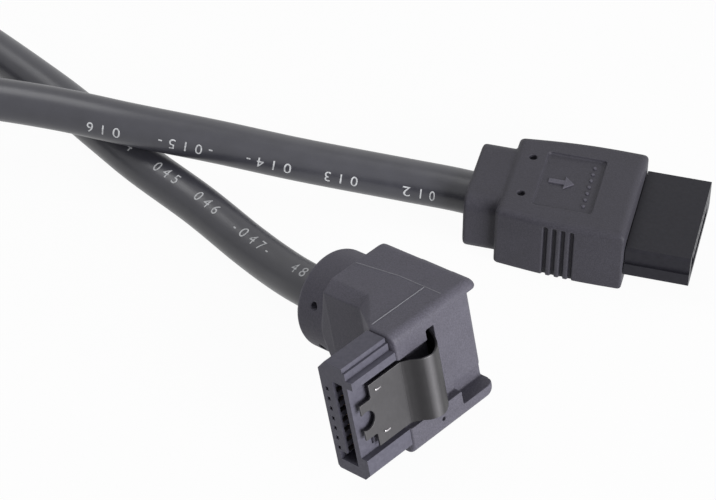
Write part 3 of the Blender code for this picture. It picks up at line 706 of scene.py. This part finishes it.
# The right-angle plug's boot, in mm in its plug's frame.
angleBootValues = {
    "front": -6.4, "rear": -19.1, "sides": (-7.33, 7.9), "top": 2.8, "rounding": 1.05, "hood bottom": -0.6,
    "rear corner": 1.2, "front corner": 0.3, "front share": 0.35, "under edge": 0.1, "inside": 0.03,
    "waist side": 7.33, "waist front": -9.1, "waist chamfer": 1.5, "waist shoulder": 0.9, "waist top": -4.8,
    "bottom": -10.4, "hood overlap": 0.5, "overlap": 0.2,
    "barrel axis": -15.0, "barrel radius": 5.65, "barrel top": -12.2, "barrel end": -16.4, "barrel rim": 0.5,
    "bay": (-12.9, -4.25, 4.5, 1.9), "plateau": (1.4, -6.23, 4.5), "plateau rear": 1.1,
    "lip": (-14.4, 0.32), "trench": (-11.5, 0.2),
    "latch slot": (-14.2, -4.35, 3.95, 0.2, 0.9),
    "side slots": [(-11.2, -12.95, -5.5, -4.2, 1.2), (-10.9, -11.25, -5.5, -4.2, 0.2)],
    "recess": (-14.2, -20.0, 4.3, 6.2, 0.6), "rail dot": (-11.2, 6.15, 0.25, 2.2),
    "pin holes": (2.65, -13.7, 0.45, 1.6),
    "pocket": (-8.7, 5.8, -1.95, 1.2), "bore radius": 2.6, "bore top": -8.0,
    "voxel": 0.1, "passes": 3, "keep": 0.4,
}


def roundedRings(outlineAt, bottom, lowRound, top, highRound, steps=7):
    # a form's outline at each level, drawn in where its edges are rounded
    levels = []
    for k in range(steps + 1):
        turn = math.pi / 2 * k / steps
        levels.append((lowRound * (1 - math.sin(turn)), bottom + lowRound * (1 - math.cos(turn))))
    for k in range(steps + 1):
        turn = math.pi / 2 * k / steps
        levels.append((highRound * (1 - math.cos(turn)), top - highRound * (1 - math.sin(turn))))
    return [[(x, y, level) for x, y in outlineAt(inset)] for inset, level in levels]


def hullOf(*rings):
    # the tight skin round outlines at their levels
    def build(shape):
        for outline, level in rings:
            for x, y in outline:
                shape.verts.new((x, y, level))
        found = bmesh.ops.convex_hull(shape, input=shape.verts)
        loose = [part for part in found["geom_interior"] if isinstance(part, bmesh.types.BMVert)]
        bmesh.ops.delete(shape, geom=loose, context="VERTS")
        for vertex in shape.verts:
            vertex.co *= mm

    return meshFrom(build)


def hoodOutline(v, inset):
    # drawn in on every side, and less at the front
    low, high = v["sides"]
    front, rear = v["front"] - inset * v["front share"], v["rear"] + inset
    corner = max(v["rear corner"] - inset, 0.1)
    points = [(front, low + inset), (front, high - inset), (rear, high - inset), (rear, low + inset)]
    return filleted(points, [v["front corner"], v["front corner"], corner, corner], 6)


def waistOutline(v, inset=0):
    side, front, rear = v["waist side"] - inset, v["waist front"] - inset, v["rear"] + inset
    chamfer, shoulder = v["waist chamfer"], v["waist shoulder"]
    points = [(front, -side + shoulder), (front, side - shoulder), (front - chamfer, side), (rear, side),
              (rear, -side), (front - chamfer, -side)]
    return filleted(points, [0, 0, 0, v["rear corner"], v["rear corner"], 0], 6)


def waistMeshes(v):
    # the block under the hood, down to the barrel's end
    # each part starts a little inside the one above, so that no two faces coincide
    hood, upper = hoodOutline(v, v["inside"]), waistOutline(v)
    lower, taper = waistOutline(v, v["inside"]), waistOutline(v, v["inside"] * 2)
    centre, rim, end, overlap = (v["barrel axis"], 0), v["barrel rim"], v["barrel end"], v["overlap"]

    def barrel(inset, level):
        return [(x, y, level) for x, y in circle(centre, v["barrel radius"] - inset - v["inside"], 64)]

    return [hullOf((hood, v["hood bottom"] + v["hood overlap"]), (hood, v["hood bottom"] - v["inside"]),
                   (upper, v["waist top"])),
            prism(lower, v["bottom"], v["waist top"] + overlap, "Z"),
            hullOf((taper, v["bottom"] + overlap), (taper, v["bottom"]),
                   (circle(centre, v["barrel radius"], 64), v["barrel top"])),
            loft([barrel(0, v["barrel top"] + overlap), barrel(0, end + rim), barrel(rim * 0.3, end + rim * 0.3),
                  barrel(rim, end)])]


def makeAngleBoot():
    v = angleBootValues
    boot = newObject("angleBoot", loft(roundedRings(lambda inset: hoodOutline(v, inset), v["hood bottom"],
                                                    v["under edge"], v["top"], v["rounding"])))
    for mesh in waistMeshes(v):
        combine(boot, mesh, "UNION")
    root, wallLow, wallHigh, floor = v["bay"]
    plateau, low, high = v["plateau"]
    rear, fall = v["rear"], v["plateau rear"]
    slope = [(rear + fall * (1 - math.sin(a)), plateau - fall * (1 - math.cos(a)))
             for a in (math.pi / 2 * k / 6 for k in range(7))]
    back, rise = v["lip"]
    combine(boot, prism([(root, plateau + rise), (back, plateau + rise), (back, plateau), *slope,
                         (rear - 1, plateau - fall), (rear - 1, beyond), (root, beyond)], low, high, "Y"))
    combine(boot, block(root - bite, 0, wallLow, wallHigh, floor, beyond))
    end, low, high, bottom, top = v["latch slot"]
    combine(boot, block(root - bite, v["trench"][0], low, high, v["trench"][1], beyond))
    combine(boot, block(end, root + bite, low, high, bottom, top))
    for start, end, low, high, bottom in v["side slots"]:
        combine(boot, block(end, start, low, high, bottom, beyond))
    start, end, low, high, bottom = v["recess"]
    combine(boot, prism(filleted([(end, low), (start, low), (start, high), (end, high)], 0.3), bottom, beyond, "Z"))
    x, y, radius, bottom = v["rail dot"]
    combine(boot, prism(circle((x, y), radius, 16), bottom, beyond, "Z"))
    back, half, low, high = v["pocket"]
    combine(boot, block(back, 0, -half, half, low, high))
    combine(boot, prism(circle((v["barrel axis"], 0), v["bore radius"], 48), v["barrel end"] - 1, v["bore top"], "Z"))
    side, level, radius, depth = v["pin holes"]
    outer = v["barrel axis"] + v["barrel radius"]
    for y in (-side, side):
        combine(boot, prism(circle((y, level), radius, 24), outer - depth, outer + 1, "X"))
    moulded(boot, v["voxel"], v["passes"], v["keep"])
    return finishPiece(boot, bootFinish["angle"], angleFrame, "cable", "boot_rubber", "angle_boot")


angleBoot = makeAngleBoot()
print("right-angle boot made,", len(angleBoot.data.polygons), "faces")


# The straight plug's boot. The marked side, with the panel, lies up.
straightBootValues = {
    "front": -7.4, "rear": -22.2, "end": -26.1, "front half": 7.3, "rear half": 6.55, "bulge": 0.35,
    "marked side": -4.2, "marked rounding": 0.85, "floor side": 4.0, "floor rounding": 0.5,
    "front corner": 0.3, "rear corner": 0.45, "collar": (11.0, 7.8, 1.8), "collar edge": 0.4,
    "panel": (-11.7, -18.5, 4.6, 0.3), "grips": (-13.3, 1.0, 4, 0.45, 0.5), "pins": (-20.0, 3.15, 0.45, 0.7),
    "pocket": (-9.7, 5.8, -1.95, 1.2), "bore radius": 2.6, "bore start": -20.0,
    "voxel": 0.1, "passes": 3, "keep": 0.4,
}


def straightHalf(v, share):
    plain = v["front half"] + (v["rear half"] - v["front half"]) * share
    return plain + v["bulge"] * math.sin(math.pi * share)


def straightOutline(v, inset, steps=16):
    front, rear = v["front"] - inset, v["rear"] + inset
    near = [(front + (rear - front) * k / steps, straightHalf(v, k / steps) - inset) for k in range(steps + 1)]
    points = near + [(x, -y) for x, y in reversed(near)]
    radii = [0] * len(points)
    radii[0] = radii[-1] = v["front corner"]
    radii[steps] = radii[steps + 1] = v["rear corner"]
    return filleted(points, radii, 4)


def makeStraightBoot():
    v = straightBootValues
    marked = v["marked side"]
    boot = newObject("straightBoot", loft(roundedRings(lambda inset: straightOutline(v, inset), marked,
                                                       v["marked rounding"], v["floor side"], v["floor rounding"])))
    width, height, corner = v["collar"]
    points = [(-width / 2, -height / 2), (width / 2, -height / 2), (width / 2, height / 2), (-width / 2, height / 2)]
    collar = newObject("collar", prism(filleted(points, corner, 8), v["end"], v["rear"] + 1, "X"))
    crisp(collar, v["collar edge"], 3, 50)
    combine(boot, collar.data.copy(), "UNION")
    bpy.data.objects.remove(collar)
    start, end, side, depth = v["panel"]
    combine(boot, prism(filleted([(end, -side), (start, -side), (start, side), (end, side)], 0.4),
                        -beyond, marked + depth, "Z"))
    first, pitch, count, wide, deep = v["grips"]
    for k in range(count):
        x = first - k * pitch
        inner = straightHalf(v, (x - v["front"]) / (v["rear"] - v["front"])) - deep
        for sign in (-1, 1):
            near, far = sorted((sign * inner, sign * beyond))
            combine(boot, block(x - wide / 2, x + wide / 2, near, far, marked + v["marked rounding"], beyond))
    x, side, radius, depth = v["pins"]
    for y in (-side, side):
        combine(boot, prism(circle((x, y), radius, 24), -beyond, marked + depth, "Z"))
    back, wide, low, high = v["pocket"]
    combine(boot, block(back, 0, -wide, wide, low, high))
    combine(boot, prism(circle((0, 0), v["bore radius"], 48), v["end"] - 1, v["bore start"], "X"))
    moulded(boot, v["voxel"], v["passes"], v["keep"])
    return finishPiece(boot, bootFinish["straight"], straightFrame, "cable", "boot_rubber", "straight_boot")


straightBoot = makeStraightBoot()
print("straight boot made,", len(straightBoot.data.polygons), "faces")


# A raised arrow and a row of pips on the straight boot's panel, drawn lighter than the boot around them as a painted
# highlight.
signValues = {"tip": -14.6, "neck": -15.7, "tail": -17.5, "head half": 1.0, "shaft half": 0.35,
              "pips": (-12.9, 1.1, 7, 0.2), "rise": 0.16, "root": 0.08}


def makePanelSigns():
    v, boot = signValues, straightBootValues
    floor = boot["marked side"] + boot["panel"][3]
    low, high = floor - v["rise"], floor + v["root"]
    arrow = [(v["tip"], 0), (v["neck"], v["head half"]), (v["neck"], v["shaft half"]), (v["tail"], v["shaft half"]),
             (v["tail"], -v["shaft half"]), (v["neck"], -v["shaft half"]), (v["neck"], -v["head half"])]
    x, pitch, count, radius = v["pips"]
    pips = [prism(circle((x, (k - (count - 1) / 2) * pitch), radius, 16), low, high, "Z") for k in range(count)]
    signs = joined("panelSigns", [prism(arrow, low, high, "Z"), *pips])
    crisp(signs, 0.05, 2, 40)
    # the raised signs take the right-angle boot's lighter rubber, lighter than the straight boot around them: a
    # painted highlight on them
    return finishPiece(signs, bootFinish["angle"], straightFrame, "cable", "boot_rubber")


panelSigns = makePanelSigns()
print("panel signs made")


# The fine lines that the mould left on the right-angle boot, raised a little and drawn in a lighter grey than the
# boot: a painted highlight along them.
mouldLineValues = {"width": 0.13, "rise": 0.035, "lines": [
    [(-14.8, -7.33, 1.6), (-14.8, -7.33, -4.4), (-14.1, -7.33, -10.2)],
    [(-14.7, -7.33, -0.7), (-10.5, -7.33, -0.72), (-7.0, -7.33, -0.75)],
]}


def makeMouldLines():
    v = mouldLineValues
    out = Vector((0, -1, 0))
    meshes = []
    for line in v["lines"]:
        points = [Vector(point) for point in line]
        rings = []
        for i, point in enumerate(points):
            ahead = (points[min(i + 1, len(points) - 1)] - points[max(i - 1, 0)]).normalized()
            across = ahead.cross(out) * v["width"] / 2
            rings.append([point + across * side + out * v["rise"] * level
                          for side, level in ((-1, -1), (1, -1), (0.4, 1), (-0.4, 1))])
        meshes.append(loft(rings))
    return finishPiece(joined("mouldLines", meshes), mouldLineHighlightFinish, angleFrame, "cable", "boot_rubber")


mouldLines = makeMouldLines()
print("mould lines made")


# The noses, hard plastic with the L-slot.
noseValues = {
    "half": 7.05, "contact side": -1.95, "plain side": 2.05, "step": 0.3, "edge": 0.3, "plain chamfer": 0.5,
    "slot": (-4.77, 5.66, -0.1, 1.3, 5.8), "leg": (4.56, -1.2), "window": 0.45, "channel": 0.6,
    "channel level": (-1.55, -0.85), "window level": -1.2, "open from": -0.3,
    "first contact": -3.44, "pitch": 1.27, "count": 7,
    "tongue": (-5.6, 5.6, -1.75, 1.0), "bevel": 0.12,
}
straightNoseValues = {"length": 7.3, "tongue": 2.2}
angleNoseValues = {"length": 6.3, "tongue": 2.2, "contact chamfer": 1.2, "top": 2.9, "ear": (-5.65, -4.7),
                   "bay": (-4.7, 4.25, 2.05), "outer chamfer": 0.85, "steps": [(-6.5, 2.05), (-6.5, 1.75)],
                   "mould slots": [(-1.9, 2.4, 3.45), (-4.9, 2.9, 3.9)], "mould slot": (0.3, 0.6)}


def noseOutline(latched):
    v, a = noseValues, angleNoseValues
    half, low, top, edge = v["half"], v["contact side"], v["plain side"], v["edge"]
    if latched:
        high = a["top"]
        bayStart, bayEnd, bayFloor = a["bay"]
        earOuter, earInner = a["ear"]
        corner = a["contact chamfer"]
        return [(-half + corner, low), (half - edge, low), (half, low + edge), (half, top),
                (half - a["outer chamfer"], high), (bayEnd, high), (bayEnd, bayFloor), (bayStart, bayFloor),
                (earInner, high), (earOuter, high), (earOuter, bayFloor), *a["steps"], (-half, a["steps"][-1][1]),
                (-half, low + corner)]
    lower, cut = half - v["step"], v["plain chamfer"]
    return [(-half + edge, low), (lower - edge, low), (lower, low + edge), (lower, 0), (half, 0), (half, top - cut),
            (half - cut, top), (-half + cut, top), (-half, top - cut), (-half, low + edge)]


def makeNose(name, noseSize, latched, place):
    v = noseValues
    length = noseSize["length"]
    nose = newObject(name, prism(noseOutline(latched), -length, 0, "X"))
    left, right, low, high = v["tongue"]
    back = -length - noseSize["tongue"]
    combine(nose, block(back, -length + 0.2, left, right, low, high), "UNION")
    first, last, bottom, top, depth = v["slot"]
    leg, legBottom = v["leg"]
    combine(nose, prism([(first, bottom), (leg, bottom), (leg, legBottom), (last, legBottom), (last, top),
                         (first, top)], -depth, 1, "X"))
    low, high = v["channel level"]
    small = v["window"] / 2
    for k in range(v["count"]):
        y = v["first contact"] + k * v["pitch"]
        outline = [(back - 1, low), (v["open from"], low), (v["open from"], bottom + 0.2),
                   (-depth + 0.2, bottom + 0.2), (-depth + 0.2, high), (back - 1, high)]
        combine(nose, prism(outline, y - v["channel"] / 2, y + v["channel"] / 2, "Y"))
        combine(nose, block(v["open from"] - 0.2, 1, y - small, y + small,
                            v["window level"] - small, v["window level"] + small))
    if latched:
        wide, deep = noseSize["mould slot"]
        floor = noseSize["bay"][2]
        for x, near, far in noseSize["mould slots"]:
            combine(nose, block(x - wide / 2, x + wide / 2, near, far, floor - deep, floor + 0.2))
    crisp(nose, v["bevel"], 2, 30)
    plug = name.replace("Nose", "")
    return finishPiece(nose, noseFinish[plug], place, "cable", "nose_plastic", plug + "_housing")


straightNose = makeNose("straightNose", straightNoseValues, False, straightFrame)
angleNose = makeNose("angleNose", angleNoseValues, True, angleFrame)
print("noses made")


# The latch: one strip of spring steel with a humped bend, its tail in the boot.
latchValues = {
    "front": -0.5, "level": 2.775, "middle": -0.25, "width": 7.75, "thickness": 0.25,
    "bend": [(-6.7, 2.775), (-7.55, 3.4), (-8.3, 4.25), (-9.2, 4.66), (-10.0, 4.62), (-11.1, 3.88), (-12.0, 2.6),
             (-12.5, 1.45), (-12.8, 0.7)],
    "tail": [(-13.27, 0.55), (-14.0, 0.55)],
    "shoulder": -2.1, "tab": 4.4, "corner": 0.25, "notch": (-1.1, 1.1),
    "barbs": [(-2.75, -3.2), (-2.95, 2.25)], "barb": (1.25, 0.2, 0.16), "lean": 13, "edge": 0.05,
}


def makeLatch():
    v = latchValues
    middle, level, half = v["middle"], v["level"], v["thickness"] / 2
    line = [Vector((v["front"], 0, level)), *smoothLine([Vector((x, 0, z)) for x, z in v["bend"]], 0.16),
            *(Vector((x, 0, z)) for x, z in v["tail"])]
    rings = []
    for i, point in enumerate(line):
        ahead = (line[min(i + 1, len(line) - 1)] - line[max(i - 1, 0)]).normalized()
        up = Vector((ahead.z, 0, -ahead.x)) * half
        rings.append([point + up * level + Vector((0, middle + side * v["width"] / 2, 0))
                      for side, level in ((-1, -1), (1, -1), (1, 1), (-1, 1))])
    latch = newObject("latch", loft(rings))
    for sign in (-1, 1):
        inner = middle + sign * v["tab"] / 2
        points = [(v["shoulder"], inner), (v["shoulder"], sign * beyond), (1, sign * beyond), (1, inner)]
        combine(latch, prism(filleted(points, [v["corner"], 0, 0, 0]), level - 0.5, level + 0.5, "Z"))
    x, radius = v["notch"]
    combine(latch, prism(circle((x, middle), radius, 40), level - 0.5, level + 0.5, "Z"))
    crisp(latch, v["edge"], 2, 40)
    return finishPiece(latch, steelFinish, angleFrame, "latch", "latch_steel", "latch_spring")


def makeBarbs():
    # the two small tongues struck up from the pad
    v = latchValues
    top = v["level"] + v["thickness"] / 2
    length, wide, rise = v["barb"]
    meshes = []
    for x, y in v["barbs"]:
        wedge = prism([(0, -rise), (0, rise), (-length * 0.3, rise), (-length, -rise / 2), (-length, -rise)],
                      -wide / 2, wide / 2, "Y")
        wedge.transform(Matrix.Translation(Vector((x, y, top)) * mm)
                        @ Matrix.Rotation(math.radians(-v["lean"]), 4, "Z"))
        meshes.append(wedge)
    barbs = joined("latchBarbs", meshes)
    crisp(barbs, 0.04, 2, 40)
    # the barbs take the much lighter steel: a painted glint
    return finishPiece(barbs, barbGlintFinish, angleFrame, "latch", "latch_steel")


latch = makeLatch()
barbs = makeBarbs()
print("latch made")
